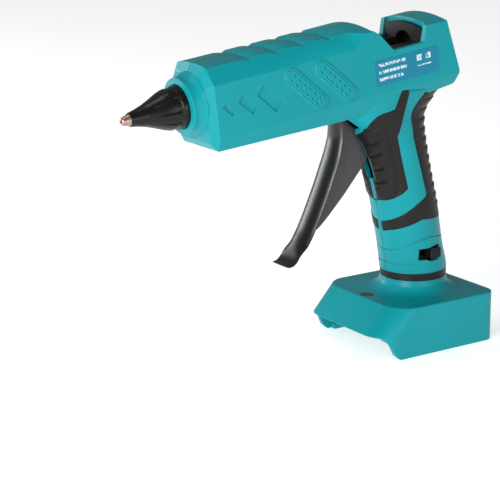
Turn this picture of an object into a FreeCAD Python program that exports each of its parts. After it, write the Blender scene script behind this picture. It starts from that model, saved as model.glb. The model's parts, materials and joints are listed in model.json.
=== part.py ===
import FreeCAD, Part
import math
import os

# Cordless glue gun, 11 mm sticks, in millimetres. +Z is up and the nozzle points along -X.
# The origin is under the middle of the part, on the surface that its battery foot stands on.
V = FreeCAD.Vector

# ---- driving dimensions ----
FOOT_LENGTH_BACK = 114.8     # the foot's back face, +X
FOOT_HALF_WIDTH = 37.5
FOOT_TOP = 29.5
FOOT_BROW = 14.0             # height where the foot's sloped front ends
FOOT_BROW_X = 27.8
FOOT_TOP_FRONT_X = 41.8
FOOT_WALL = 3.2
RAIL_LIP = 3.6               # how far each battery rail reaches in from its wall
RAIL_HEIGHT = 3.2
NECK_X = 81.0                # centre of the handle's round base
BAND_BOTTOM = 37.5
BAND_TOP = 42.0
SPIGOT_R = 16.0
HANDLE_R = 19.5
WALL = 2.6                   # moulded wall of the housing
GRIP_DEPTH = 1.1             # how deep the rubber grips are let in
SEAM_HALF_WIDTH = 1.4        # plastic left between the front grips, on the handle's seam
SLOT_BORDER = 0.8            # plastic left between a front grip and the trigger's slot
GRIP_LOW = 44.0
FRONT_GRIP_HIGH = 149.8
REAR_GRIP_HIGH = 151.5
FRONT_GRIP = [(20, 131.5), (41.3, 132.0), (43.2, 136.3), (45.5, 139.8), (51.1, 141.5), (53.3, 150.4),
              (56.5, 154.0), (60.6, 153.0), (53.0, 126.3), (62.1, 94.8), (59.5, 91.6), (54.5, 87.6),
              (48.0, 85.2), (20, 85.2)]
REAR_GRIP = [(71.5, 149.6), (63.8, 126.0), (74.5, 90.8), (73.7, 88.6), (68.1, 85.0), (61.0, 79.0),
             (54.0, 72.8), (40.0, 72.6), (40.0, 66.6), (54.0, 66.8), (60.7, 70.2), (71.8, 75.3),
             (79.0, 76.2), (88.1, 74.0), (110.0, 70.0), (110.0, 155.0)]
GROOVE_DEPTH = 0.6
GROOVE_WIDTH = 1.1
HANDLE_GROOVES = [
    [(50.0, 55.4), (59.5, 55.9), (63.9, 59.0), (70.2, 62.6), (78.4, 64.5), (90.0, 63.0), (110.0, 60.0)],
    [(50.0, 50.5), (56.2, 49.3), (61.4, 47.5), (67.5, 47.7), (69.4, 49.2)],
]

STICK_R = 5.5
TILT_DEG = 7.1               # the barrel's nose droops by this much
TIP_R = 2.5
TIP_HEIGHT = 150.6
BODY_FRONT = 46.0            # distances along the barrel, back from the nozzle's tip
BODY_HALF_WIDTH = 20.8
ROOF_HALF_WIDTH = 14.5
ROOF_APEX = 21.6
ROOF_RADIUS = 72.0
SHOULDER = 11.5              # top of the flat side
WAIST = -17.5                # bottom of the flat side
KEEL_SLOPE = 0.452           # how the lower facet leans in
ROOF_END = 150.8
NOTCH_START = 164.4
NOTCH_FLOOR = 5.3
TOWER_FRONT = 185.7
TOWER_TOP = 17.4
TOWER_BACK = 209.7
RIB_COUNT = 4
RIB_FIRST = 68.3
RIB_PITCH = 17.6
RIB_DEPTH = 1.5
FLUTE_TILT = 46.5            # slant of the side's pads and marks

COLLAR_FRONT = 36.1
COLLAR_R = 15.6
COLLAR_FLANGE_R = 17.5
COLLAR_BORE = 13.2
SLEEVE_GROOVES = 10
CHAMBER_FRONT = 40.0
CHAMBER_BACK = 98.0
CHAMBER_R = 9.0
SLEEVE_BACK = 118.0

PIVOT_S = 133.7              # the trigger's hinge, along and above the barrel's axis
PIVOT_V = -21.2
PIVOT_PIN_R = 1.5
TRIGGER_HALF_WIDTH = 9.0
FIN_HALF_WIDTH = 2.6
CARRIAGE_S = 137.6           # the carriage's drive pins at rest
DRIVE_PIN_R = 1.5
CARRIAGE_TRAVEL = 7.7

SWITCH_X = 78.5              # middle of the slide switch's window
SWITCH_Z = 53.7
SWITCH_WINDOW = 15.4
SWITCH_HEIGHT = 7.0

BOSSES = [(54.0, -19.0), (104.0, -19.5), (150.5, 12.3), (199.0, -12.0)]   # along, above the axis
HANDLE_BOSSES = [(74.0, 108.0), (67.5, 72.0)]
SCREW_HEAD_R = 2.9
SCREW_R = 1.4
LENS_X = 47.0                # the indicator on the foot's top
LENS_R = 4.25
PAWL_S = 142.4               # the pawl's hinge, along and above the barrel's axis
PAWL_V = -9.6
PAWL_PIN_R = 0.9

tilt = math.radians(TILT_DEG)
tip_x = -FOOT_LENGTH_BACK + TIP_R * math.sin(tilt)
barrel_place = FreeCAD.Placement(V(tip_x, 0, TIP_HEIGHT), FreeCAD.Rotation(V(0, 1, 0), -TILT_DEG))


# ---- helpers ----
def on_barrel(shape):
    """Carry a shape from the barrel's own frame (back, across, up) to the part's frame."""
    placed = shape.copy()
    placed.Placement = barrel_place.multiply(placed.Placement)
    return placed


def barrel_point(s, y, v):
    return barrel_place.multVec(V(s, y, v))


def rounded_face(points, radii=0.0):
    """A face inside straight sides whose corners are rounded, each with its own radius."""
    count = len(points)
    if not isinstance(radii, (list, tuple)):
        radii = [radii] * count
    corners = []
    for i, point in enumerate(points):
        if radii[i] == 0:
            corners.append((point, None, point))
            continue
        back = (points[i - 1] - point).normalize()
        ahead = (points[(i + 1) % count] - point).normalize()
        half = back.getAngle(ahead) / 2
        run = radii[i] / math.tan(half)
        middle = point + (back + ahead).normalize() * (radii[i] / math.sin(half) - radii[i])
        corners.append((point + back * run, middle, point + ahead * run))
    edges = []
    for i, (start, middle, end) in enumerate(corners):
        if middle is not None:
            edges.append(Part.Arc(start, middle, end).toShape())
        following = corners[(i + 1) % count][0]
        if end.distanceToPoint(following) > 1e-6:
            edges.append(Part.makeLine(end, following))
    return Part.Face(Part.Wire(edges))


def side_plate(outline, y_low, y_high, radii=0.0):
    """A plate cut to an outline of (x, z) points and running across the part."""
    face = rounded_face([V(x, y_low, z) for x, z in outline], radii)
    return face.extrude(V(0, y_high - y_low, 0))


def turned(profile):
    """A solid turned from a closed profile of (along, radius) points about the barrel's axis."""
    points = [V(s, 0, r) for s, r in profile]
    face = Part.Face(Part.makePolygon(points + points[:1]))
    return face.revolve(V(0, 0, 0), V(1, 0, 0), 360)


def rod(radius, start, end):
    along = end - start
    return Part.makeCylinder(radius, along.Length, start, along)


def tube(outer, inner, start, end):
    return rod(outer, start, end).cut(rod(inner, start, end))


def block(x0, x1, y0, y1, z0, z1):
    return Part.makeBox(x1 - x0, y1 - y0, z1 - z0, V(x0, y0, z0))


def joined(shapes):
    first, *rest = shapes
    return first.fuse(rest).removeSplitter() if rest else first


def half(shape, side):
    """The part of a shape on one side of the middle plane: -1 is left, +1 is right."""
    size = 400
    y_low = -size if side < 0 else 0
    return shape.common(Part.makeBox(2 * size, size, 2 * size, V(-size, y_low, -size)))


def at_s(s, outline):
    """Points across the barrel at one station from (across, up) pairs."""
    return [V(s, y, v) for y, v in outline]


# ---- the barrel's outer form, in its own frame ----
def roof_edge(apex, y):
    return apex - ROOF_RADIUS + math.sqrt(ROOF_RADIUS ** 2 - y ** 2)


def roof_stations(inset):
    """Heights of the arched roof along the barrel: sawtooth ribs, then plain, then the tower."""
    stations = [(BODY_FRONT - 10, ROOF_APEX), (RIB_FIRST, ROOF_APEX)]
    for i in range(RIB_COUNT):
        start = RIB_FIRST + RIB_PITCH * i
        if i:
            stations.append((start, ROOF_APEX))
        stations.append((start + 5.3, ROOF_APEX - RIB_DEPTH))
        stations.append((start + 8.1, ROOF_APEX))
    stations += [(176.0, ROOF_APEX), (177.0, TOWER_TOP), (TOWER_BACK + 10, TOWER_TOP)]
    if inset:
        stations = [(BODY_FRONT - 10, ROOF_APEX - RIB_DEPTH), (176.0, ROOF_APEX - RIB_DEPTH),
                    (177.0, TOWER_TOP), (TOWER_BACK + 10, TOWER_TOP)]
    return [(s, apex - inset) for s, apex in stations]


def roof_form(inset):
    """Everything below the arched roof, as straight runs between arched stations."""
    wide = 30
    wires = []
    for s, apex in roof_stations(inset):
        low_left, low_right = V(s, -wide, -60), V(s, wide, -60)
        left, right = V(s, -wide, roof_edge(apex, wide)), V(s, wide, roof_edge(apex, wide))
        arch = Part.Arc(left, V(s, 0, apex), right).toShape()
        wires.append(Part.Wire([Part.makeLine(low_left, left), arch,
                                Part.makeLine(right, low_right), Part.makeLine(low_right, low_left)]))
    return Part.makeLoft(wires, True, True)


def section_prism(shouldered, inset, start, end):
    """The barrel's cross section run along it, with or without the slanted shoulders."""
    keel_y = BODY_HALF_WIDTH - KEEL_SLOPE * (WAIST + 45)
    lean = (BODY_HALF_WIDTH - ROOF_HALF_WIDTH) / (20.0 - SHOULDER)
    top = 32.0
    if shouldered:
        top_y = BODY_HALF_WIDTH - lean * (top - SHOULDER)
        right = [(top_y, top), (BODY_HALF_WIDTH, SHOULDER)]
    else:
        right = [(BODY_HALF_WIDTH, top)]
    right += [(BODY_HALF_WIDTH, WAIST), (keel_y, -45)]
    outline = right + [(-y, v) for y, v in reversed(right)]
    radii = [0] + [1.2] * (len(right) - 2) + [0]
    face = rounded_face(at_s(start, outline), radii + radii[::-1])
    if inset:
        face = Part.Face(face.OuterWire.makeOffset2D(-inset))
    return face.extrude(V(end - start, 0, 0))


def side_profile(inset):
    """The barrel's outline from the side: keel, rear face, tower, notch and the slope to the roof."""
    points = [(BODY_FRONT, 40), (BODY_FRONT, -24.5), (130, -27.8), (168, -27.0), (207, -23.5),
              (TOWER_BACK, -17.0), (TOWER_BACK, -15.0), (202.3, 18.6), (201.5, 40), (195, 40), (189.7, 20),
              (TOWER_FRONT, NOTCH_FLOOR), (NOTCH_START, NOTCH_FLOOR), (155.1, 16.4), (ROOF_END, 19.3),
              (ROOF_END - 3.5, 40)]
    radii = [0, 0, 0, 0, 3, 0, 4, 1.5, 0, 0, 0, 1.0, 1.5, 6, 0, 0]
    face = rounded_face([V(s, -40, v) for s, v in points], radii)
    if inset:
        face = Part.Face(face.OuterWire.makeOffset2D(-inset))
    return face.extrude(V(0, 80, 0))


def shoulder_wedge(side):
    """The corner in front of the slanted facet that ends each shoulder."""
    roof_corner = V(137.7, side * ROOF_HALF_WIDTH, 20.2)
    top_corner = V(147.3, side * BODY_HALF_WIDTH, 19.0)
    low_corner = V(139.0, side * BODY_HALF_WIDTH, SHOULDER)
    normal = (top_corner - roof_corner).cross(low_corner - roof_corner).normalize()
    if normal.x > 0:
        normal = normal * -1
    size = 120
    cutter = Part.makeBox(size, size, size, V(-size / 2, -size / 2, 0))
    turn = FreeCAD.Rotation(V(0, 0, 1), normal)
    cutter.Placement = FreeCAD.Placement(low_corner, turn)
    return half(cutter, side)


def barrel_form(inset=0.0):
    front = section_prism(True, inset, BODY_FRONT + inset, 145.0)
    rear = section_prism(False, inset, 137.0, TOWER_BACK + 5)
    shift = V(inset, 0, 0)
    for side in (-1, 1):
        wedge = shoulder_wedge(side)
        wedge.translate(shift)
        rear = rear.cut(wedge)
    whole = front.fuse(rear)
    return whole.common(roof_form(inset)).common(side_profile(inset)).removeSplitter()


def front_chamfer():
    """The bevelled front: the barrel's section drawn in by the bevel's width over its depth."""
    depth, width = 3.2, 4.6
    outer = section_at_front(0.0, BODY_FRONT)
    inner = section_at_front(width, BODY_FRONT - depth)
    return Part.makeLoft([outer, inner], True, True)


def section_at_front(inset, s):
    """The front's eight-sided outline, flat across the roof and the keel, drawn in by an inset."""
    edge = roof_edge(ROOF_APEX, ROOF_HALF_WIDTH)
    keel_y = BODY_HALF_WIDTH - KEEL_SLOPE * (WAIST + 24.5)
    right = [(0, ROOF_APEX), (ROOF_HALF_WIDTH, edge), (BODY_HALF_WIDTH, SHOULDER),
             (BODY_HALF_WIDTH, WAIST), (keel_y, -24.5)]
    outline = right + [(-y, v) for y, v in reversed(right[1:])]
    wire = Part.makePolygon(at_s(s, outline) + at_s(s, outline[:1]))
    return wire.makeOffset2D(-inset) if inset else wire


# ---- the handle's outer form ----
HANDLE_STATIONS = [  # height, front, back, half width
    (38.0, 61.3, 100.6, 19.5),
    (54.0, 59.0, 98.1, 19.5),
    (68.0, 56.2, 95.3, 19.5),
    (82.0, 53.2, 92.2, 19.5),
    (102.5, 47.6, 86.9, 19.5),
    (114.0, 43.2, 84.4, 19.5),
    (124.0, 37.4, 82.6, 19.6),
    (132.0, 29.5, 82.2, 19.8),
    (138.0, 20.5, 83.6, 20.0),
    (144.0, 17.0, 88.5, 20.2),
    (152.0, 17.0, 96.0, 20.3),
]


def handle_form(inset=0.0):
    """Elliptical sections from the round base up, flaring forward and back into the barrel."""
    wires = []
    for z, front, back, half_width in HANDLE_STATIONS:
        middle, long_r = (front + back) / 2, (back - front) / 2 - inset
        points = []
        for i in range(16):
            turn = 2 * math.pi * i / 16
            points.append(V(middle + long_r * math.cos(turn), (half_width - inset) * math.sin(turn), z))
        curve = Part.BSplineCurve()
        curve.interpolate(Points=points, PeriodicFlag=True)
        wires.append(Part.Wire(curve.toShape()))
    return Part.makeLoft(wires, True, False)


def above(shape, z):
    size = 400
    return shape.common(Part.makeBox(2 * size, 2 * size, size, V(-size, -size, z)))


# ---- rubber grips, let into the handle ----
def handle_layer(proud, depth, z_low, z_high):
    """A skin that follows the handle, from so far proud of its face to so deep below it."""
    layer = handle_form(-proud).cut(handle_form(depth))
    return layer.common(block(-20, 130, -60, 60, z_low, z_high))


def grip_set(proud):
    """Left front, right front and rear grips, or with some thickness to spare, their pockets."""
    front = handle_layer(proud, GRIP_DEPTH, GRIP_LOW, FRONT_GRIP_HIGH).cut(trigger_slot(SLOT_BORDER))
    left = front.common(side_plate(FRONT_GRIP, -40, -SEAM_HALF_WIDTH))
    right = front.common(side_plate(FRONT_GRIP, SEAM_HALF_WIDTH, 40))
    rear = handle_layer(proud, GRIP_DEPTH, GRIP_LOW, REAR_GRIP_HIGH).common(side_plate(REAR_GRIP, -40, 40))
    seam = block(20, 70, -SEAM_HALF_WIDTH, SEAM_HALF_WIDTH, 60, 90)
    rear = rear.cut(on_barrel(barrel_form())).cut(seam)
    return main_solid(left), main_solid(right), main_solid(rear)


def handle_grooves():
    """Shallow curved grooves round the handle's lower end, each along a line given in side view."""
    skin = handle_layer(2.0, GROOVE_DEPTH, BAND_TOP + 2, 80)
    cuts = []
    for line in HANDLE_GROOVES:
        over = [(x, z + GROOVE_WIDTH / 2) for x, z in line]
        under = [(x, z - GROOVE_WIDTH / 2) for x, z in reversed(line)]
        cuts.append(skin.common(side_plate(over + under, -40, 40)))
    return cuts


# ---- openings and let-in details of the housing ----
def trigger_slot(border=0.0):
    """Room for the trigger's plate below the barrel and for its fin in the handle's front."""
    plate = block(13.0, 34.4 + border, -9.8 - border, 9.8 + border, 126.0 - border, 146.0)
    fin_y = FIN_HALF_WIDTH + 0.6 + border
    fin = block(24.0, 58.0, -fin_y, fin_y, 99.2 - border, 136.0)
    return plate.fuse(fin)


def flute(centre_s, length, width, depth, radius):
    """A slanted pad or mark on the flat side, centred on the flutes' common line."""
    along = V(math.cos(math.radians(FLUTE_TILT)), 0, -math.sin(math.radians(FLUTE_TILT)))
    across = V(-along.z, 0, along.x)
    centre = V(centre_s, 0, -2.9)
    corners = []
    for i, j in ((-1, -1), (1, -1), (1, 1), (-1, 1)):
        corners.append(centre + along * (i * length / 2) + across * (j * width / 2))
    return rounded_face(corners, radius).extrude(V(0, depth, 0))


def side_marks(side):
    """Three recessed slanted marks, each larger than the one in front."""
    cuts = []
    depth = 0.9
    for centre_s, length, width in ((53.5, 7.8, 2.5), (65.6, 12.2, 4.6), (79.7, 16.0, 6.5)):
        mark = flute(centre_s, length, width, depth, 0.3)
        mark.translate(V(0, side * BODY_HALF_WIDTH - (depth if side > 0 else 0), 0))
        cuts.append(mark)
    return cuts


def grip_pads(side):
    """Two raised slanted pads with round ends, each with two rows of six small dimples."""
    pads = []
    rise, sunk = 0.5, 1.0
    for centre_s in (103.3, 123.3):
        y_low = side * BODY_HALF_WIDTH - (rise if side < 0 else sunk)
        rim = flute(centre_s, 34.4, 9.6, rise + sunk, 4.75)
        pool = flute(centre_s, 33.2, 8.4, rise, 4.15)
        pool.translate(V(0, -0.25 if side < 0 else sunk + 0.25, 0))
        pad = flute(centre_s, 32.4, 7.6, rise + sunk, 3.75)
        pad = rim.cut(pool).fuse(pad)
        for row in range(6):
            for column in (-1, 1):
                dimple = flute(centre_s, 1.5, 0.9, 0.5, 0.3)
                step = (row - 2.5) * 4.3
                angle = math.radians(FLUTE_TILT)
                dimple.translate(V(step * math.cos(angle) + column * 1.7 * math.sin(angle),
                                   -0.02 if side < 0 else rise + sunk - 0.48,
                                   -step * math.sin(angle) + column * 1.7 * math.cos(angle)))
                pad = pad.cut(dimple)
        pad.translate(V(0, y_low, 0))
        pads.append(pad)
    return pads


def boss_places():
    places = [barrel_point(s, 0, v) for s, v in BOSSES]
    return places + [V(x, 0, z) for x, z in HANDLE_BOSSES]


def housing():
    """The whole clamshell before it is split, then its left and right halves."""
    outer = joined([on_barrel(barrel_form()), on_barrel(front_chamfer()),
                    above(handle_form(), BAND_TOP)])
    for side in (-1, 1):
        for pad in grip_pads(side):
            outer = outer.fuse(on_barrel(pad))
        for mark in side_marks(side):
            outer = outer.cut(on_barrel(mark))
    outer = outer.removeSplitter()
    cavity = on_barrel(barrel_form(WALL)).fuse(above(handle_form(WALL), BAND_TOP + 3))
    bosses = []
    for place in boss_places():
        bosses.append(rod(3.4, place - V(0, 19.5, 0), place + V(0, 19.5, 0)))
    body = outer.cut(cavity).fuse([boss.common(outer) for boss in bosses])
    spigot = rod(SPIGOT_R, V(NECK_X, 0, FOOT_TOP - 2), V(NECK_X, 0, BAND_TOP + 1))
    body = body.fuse(spigot).cut(rod(SPIGOT_R - 3, V(NECK_X, 0, 0), V(NECK_X - 1.5, 0, BAND_TOP + 6)))
    cuts = [trigger_slot()]
    cuts.append(on_barrel(rod(11.2, V(30, 0, 0), V(60, 0, 0))))
    cuts.append(on_barrel(rod(STICK_R + 1.6, V(150, 0, 0), V(225, 0, 0))))
    cuts.append(on_barrel(notch_room()))
    cuts.append(on_barrel(tower_window()))
    cuts.append(switch_window())
    pivot = barrel_point(PIVOT_S, 0, PIVOT_V)
    for low, high in ((-18, -12), (12, 18)):
        pivot_boss = rod(3.6, pivot + V(0, low, 0), pivot + V(0, high, 0))
        body = body.fuse(pivot_boss.common(outer))
    cuts.append(rod(PIVOT_PIN_R, pivot - V(0, 15.5, 0), pivot + V(0, 15.5, 0)))
    cuts.append(rod(5.0, pivot - V(0, 11.9, 0), pivot + V(0, 11.9, 0)))
    for place in foot_screw_places():
        cuts.append(rod(SCREW_R + 0.05, place, place + V(0, 0, 12)))
    for place in boss_places():
        cuts.append(rod(SCREW_R + 0.05, place - V(0, 9, 0), place + V(0, 30, 0)))
        cuts.append(rod(SCREW_HEAD_R + 0.3, place + V(0, 8, 0), place + V(0, 40, 0)))
    for cut in cuts:
        body = body.cut(cut)
    for let_in in [*grip_set(3), *handle_grooves()]:
        body = body.cut(let_in)
    return main_solid(half(body, -1)), main_solid(half(body, 1)), grip_set(0)


def main_solid(shape):
    """The largest solid of a cut shape, without the crumbs that cutting leaves."""
    return max(shape.Solids, key=lambda solid: solid.Volume)


def notch_room():
    """The window behind the roof where the stick shows, open from above between the two sides."""
    return block(NOTCH_START - 8, TOWER_FRONT + 4, -17.6, 17.6, -9.4, 16)


def tower_window():
    """The arched opening in the tower's front, filled by the rear guide."""
    points = at_s(TOWER_FRONT - 1, [(-16.6, 2), (16.6, 2), (16.6, 12.2), (-16.6, 12.2)])
    low = Part.makePolygon([points[3], points[0], points[1], points[2]])
    arch = Part.Arc(points[2], V(points[2].x, 0, 14.6), points[3]).toShape()
    face = Part.Face(Part.Wire([*low.Edges, arch]))
    return face.extrude(V(9, 0, 0))


def switch_window():
    z0, z1 = SWITCH_Z - SWITCH_HEIGHT / 2, SWITCH_Z + SWITCH_HEIGHT / 2
    x0, x1 = SWITCH_X - SWITCH_WINDOW / 2, SWITCH_X + SWITCH_WINDOW / 2
    outline = [(x0, z0), (x0 + 5.5, z0), (x0 + 8, z0 - 1.2), (x1 - 1, z0 - 0.8), (x1, z0 + 1.5),
               (x1, z1 + 0.9), (x1 - 2.4, z1 + 1.5), (x0 + 6, z1 + 0.2), (x0, z1)]
    return side_plate(outline, -30, -8, 0.4)


# ---- battery foot ----
def foot_outline(z, front_x, inset=0.0):
    """The foot's plan at one height: a rounded rectangle, blunter at the front corners."""
    y = FOOT_HALF_WIDTH - inset
    x0, x1 = front_x + inset, FOOT_LENGTH_BACK - inset
    points = [V(x0, -y, z), V(x1, -y, z), V(x1, y, z), V(x0, y, z)]
    return rounded_face(points, [15 - inset, 8 - inset, 8 - inset, 15 - inset]).OuterWire


def battery_foot():
    """A shoe open below and in front, with two rails for the battery and a round neck on top."""
    crown = Part.makeLoft([foot_outline(FOOT_BROW, FOOT_BROW_X), foot_outline(FOOT_TOP, FOOT_TOP_FRONT_X)],
                          True, True)
    skirt = Part.Face(foot_outline(0, FOOT_BROW_X)).extrude(V(0, 0, FOOT_BROW))
    shoe = crown.fuse(skirt).removeSplitter()
    cut_front = [(20, -1), (43.5, -1), (43.3, 0), (39.8, 3.2),
                 (36.5, 9.6), (32.6, 13.6), (28.0, 13.9), (20, 13.9)]
    shoe = shoe.cut(side_plate(cut_front, -60, 60, [0, 0, 0.8, 0, 4, 2.5, 0, 0]))
    level = [edge for edge in shoe.Edges if edge.BoundBox.ZLength < 0.01]
    top_edges = [edge for edge in level if abs(edge.BoundBox.ZMin - FOOT_TOP) < 0.01]
    shoe = shoe.makeFillet(0.8, top_edges)
    room = Part.makeLoft([foot_outline(FOOT_BROW - 3, FOOT_BROW_X, FOOT_WALL),
                          foot_outline(FOOT_TOP - 3.4, FOOT_TOP_FRONT_X, FOOT_WALL)], True, True)
    low_room = Part.Face(foot_outline(-1, FOOT_BROW_X - 8, FOOT_WALL)).extrude(V(0, 0, FOOT_BROW - 2))
    shoe = shoe.cut(room).cut(low_room)
    for side in (-1, 1):
        lip_y = FOOT_HALF_WIDTH - FOOT_WALL - RAIL_LIP
        inner, outer = sorted((side * lip_y, side * (FOOT_HALF_WIDTH - 1)))
        rail = block(46, FOOT_LENGTH_BACK - 6, inner, outer, 0, RAIL_HEIGHT)
        shoe = shoe.fuse(rail)
    flare = [(0, FOOT_TOP - 0.2), (27.0, FOOT_TOP - 0.2), (27.0, FOOT_TOP), (22.4, 31.2),
             (20.2, 34.0), (19.6, BAND_BOTTOM), (0, BAND_BOTTOM)]
    flare_face = rounded_face([V(r, 0, z) for r, z in flare], [0, 0, 0, 7, 4, 0, 0])
    neck = flare_face.revolve(V(0, 0, 0), V(0, 0, 1), 360)
    neck.translate(V(NECK_X, 0, 0))
    shoe = shoe.fuse(neck).removeSplitter()
    shoe = shoe.cut(rod(SPIGOT_R + 0.05, V(NECK_X, 0, FOOT_TOP - 2), V(NECK_X, 0, 50)))
    shoe = shoe.cut(rod(SPIGOT_R - 3, V(NECK_X, 0, 10), V(NECK_X, 0, 50)))
    for place in foot_screw_places():
        shoe = shoe.cut(rod(SCREW_R + 0.1, place - V(0, 0, 10), place + V(0, 0, 12)))
    lens = V(LENS_X, 0, 0)
    return shoe.cut(rod(LENS_R, lens, lens + V(0, 0, 40)))


def foot_screw_places():
    return [V(NECK_X - 1, side * 14.5, FOOT_TOP - 3.4) for side in (-1, 1)]


def indicator_lens():
    """A small dark window let into the foot's top."""
    start = V(LENS_X, 0, FOOT_TOP - 3.4)
    window = rod(LENS_R - 0.02, start, V(LENS_X, 0, FOOT_TOP - 0.1))
    return window.fuse(rod(3.0, start - V(0, 0, 0.4), start)).removeSplitter()


def indicator_led():
    body = rod(2.2, V(LENS_X, 0, FOOT_TOP - 8.4), V(LENS_X, 0, FOOT_TOP - 6))
    dome = Part.makeSphere(2.2, V(LENS_X, 0, FOOT_TOP - 6))
    return body.fuse(dome).removeSplitter()


def handle_band():
    return tube(HANDLE_R + 0.2, SPIGOT_R + 0.05, V(NECK_X, 0, BAND_BOTTOM), V(NECK_X, 0, BAND_TOP))


def terminal_block():
    """The moulded block inside the foot that carries the battery's contact blades."""
    plate = block(50, 100, -15, 15, FOOT_TOP - 6.4, FOOT_TOP - 3.4)
    body = block(62, 96, -12, 12, FOOT_TOP - 12.4, FOOT_TOP - 6.4)
    whole = plate.fuse(body).removeSplitter()
    whole = whole.cut(rod(10, V(NECK_X, 0, FOOT_TOP - 4.9), V(NECK_X, 0, FOOT_TOP)))
    whole = whole.cut(block(44, 54, -4.4, 4.4, 15, 40))
    for y in (-8.5, 8.5):
        whole = whole.cut(block(61, 90, y - 0.4, y + 0.4, 10, FOOT_TOP - 8))
    for place in foot_screw_places():
        whole = whole.cut(rod(2.7, place - V(0, 0, 12), place + V(0, 0, 1)))
    return whole


def terminal_blades():
    """Two upright contact blades for the battery."""
    blades = [block(61.5, 89.9, y - 0.38, y + 0.38, 12.4, FOOT_TOP - 8.05) for y in (-8.5, 8.5)]
    return Part.makeCompound(blades)


def foot_screws():
    screws = []
    for place in foot_screw_places():
        head = rod(2.6, place - V(0, 0, 2), place)
        screws.append(head.fuse(rod(SCREW_R, place, place + V(0, 0, 11))).removeSplitter())
    return Part.makeCompound(screws)


# ---- nose and hot end, on the barrel's axis ----
def nose_collar():
    """The ring that holds the two halves together round the hot end."""
    return turned([(COLLAR_FRONT, COLLAR_BORE), (COLLAR_FRONT, COLLAR_R - 0.4),
                   (COLLAR_FRONT + 0.4, COLLAR_R), (38.6, COLLAR_R),
                   (41.0, COLLAR_FLANGE_R), (42.8, COLLAR_FLANGE_R), (42.8, COLLAR_BORE)])


def nozzle():
    """The metal nozzle: a cone at the tip, a body inside the sleeve and a threaded end."""
    return turned([(0, 0.9), (0, TIP_R), (4.6, 3.3), (7.4, 3.8), (9, 3.9), (24, 6.4), (30, 6.4),
                   (30, 8.6), (36, 8.6), (36, 5.0), (46, 5.0), (46, 3.4), (12, 3.0), (3, 0.9)])


def nozzle_sleeve():
    """The heat-proof sleeve over the nozzle: a slim cone with long grooves, a neck and a round flange."""
    cone = turned([(4.7, 3.4), (4.7, 3.7), (14, 5.9), (22, 8.8), (27.5, 11.0), (29.2, 11.4), (29.2, 10.6),
                   (31.4, 10.6), (31.4, 11.9), (COLLAR_FRONT - 0.6, 11.9), (COLLAR_FRONT + 0.4, 12.8),
                   (COLLAR_FRONT + 4, 12.8), (COLLAR_FRONT + 4, 8.65), (30, 8.65), (30, 6.45), (24, 6.45),
                   (9, 3.95), (7.4, 3.85)])
    for i in range(SLEEVE_GROOVES):
        groove = side_plate([(15.0, 6.3), (30.0, 10.4), (30.0, 14.0), (15.0, 14.0)], -0.5, 0.5)
        groove.rotate(V(0, 0, 0), V(1, 0, 0), 360 / SLEEVE_GROOVES * (i + 0.5))
        cone = cone.cut(groove)
    return main_solid(cone)


def heating_chamber():
    """The melting tube, with the flat-sided pocket under it that holds the heating element."""
    barrel = turned([(CHAMBER_FRONT + 2, 5.1), (CHAMBER_FRONT + 2, CHAMBER_R), (CHAMBER_BACK, CHAMBER_R),
                     (CHAMBER_BACK, 7.2), (CHAMBER_BACK + 8, 7.2), (CHAMBER_BACK + 8, 5.8),
                     (54, 5.8), (50, 5.1)])
    shoe = block(56, 88, -7.5, 7.5, -15.5, -4)
    shoe = shoe.cut(rod(5.8, V(54, 0, 0), V(90, 0, 0))).cut(block(54, 90, -5.6, 5.6, -13.6, -9.6))
    return barrel.fuse(shoe).removeSplitter()


def heater_element():
    return block(57, 87, -5.5, 5.5, -13.5, -9.7)


def heater_clip():
    """The spring clip that holds the element's pocket shut against the chamber."""
    outer = block(66, 78, -8.4, 8.4, -16.4, 0)
    inner = block(65, 79, -7.6, 7.6, -15.55, 1)
    return outer.cut(inner).cut(rod(CHAMBER_R + 0.1, V(60, 0, 0), V(80, 0, 0)))


def chamber_ring(s_front, s_back, inner_r):
    """A fibre washer that centres the chamber in the housing."""
    ring = section_prism(True, WALL + 0.1, s_front, s_back)
    ring = ring.common(roof_form(WALL + 0.1)).common(side_profile(WALL + 0.1))
    return ring.cut(rod(inner_r, V(s_front - 1, 0, 0), V(s_back + 1, 0, 0)))


def inlet_sleeve():
    """The silicone sleeve that seals the stick's way into the chamber."""
    return turned([(CHAMBER_BACK + 0.1, 7.25), (CHAMBER_BACK + 0.1, 9.0), (SLEEVE_BACK - 4, 9.0),
                   (SLEEVE_BACK, 8.2), (SLEEVE_BACK, 6.6), (CHAMBER_BACK + 11, 5.7),
                   (CHAMBER_BACK + 8.1, 5.7), (CHAMBER_BACK + 8.1, 7.25)])


def sleeve_clamp():
    return turned([(100.5, 9.02), (100.5, 9.8), (106.5, 9.8), (106.5, 9.02)])


def rear_guide():
    """The black trough under the notch, the arched plate in the tower and the stick's guide tube."""
    trough = block(NOTCH_START - 1.5, TOWER_FRONT + 3.4, -17.5, 17.5, -9.3, 4.9)
    plate = tower_window()
    plate.translate(V(2.5, 0, 0))
    plate = plate.common(block(TOWER_FRONT + 1.5, TOWER_FRONT + 7.4, -16.5, 16.5, 2.1, 14.5))
    liner = rod(STICK_R + 1.55, V(150, 0, 0), V(206.0, 0, 0))
    collar = rod(STICK_R + 3.5, V(TOWER_FRONT + 3, 0, 0), V(TOWER_FRONT + 12, 0, 0))
    whole = joined([trough, plate, liner, collar])
    whole = whole.cut(rod(STICK_R + 0.6, V(140, 0, 0), V(215, 0, 0)))
    bowl_r = STICK_R + 2.4
    bowl = rod(bowl_r, V(NOTCH_START + 1, 0, 1.7), V(TOWER_FRONT + 8, 0, 1.7))
    channel = block(NOTCH_START + 1, TOWER_FRONT + 0.6, -bowl_r, bowl_r, 1.7, 30)
    return main_solid(whole.cut(bowl).cut(channel))


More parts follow.
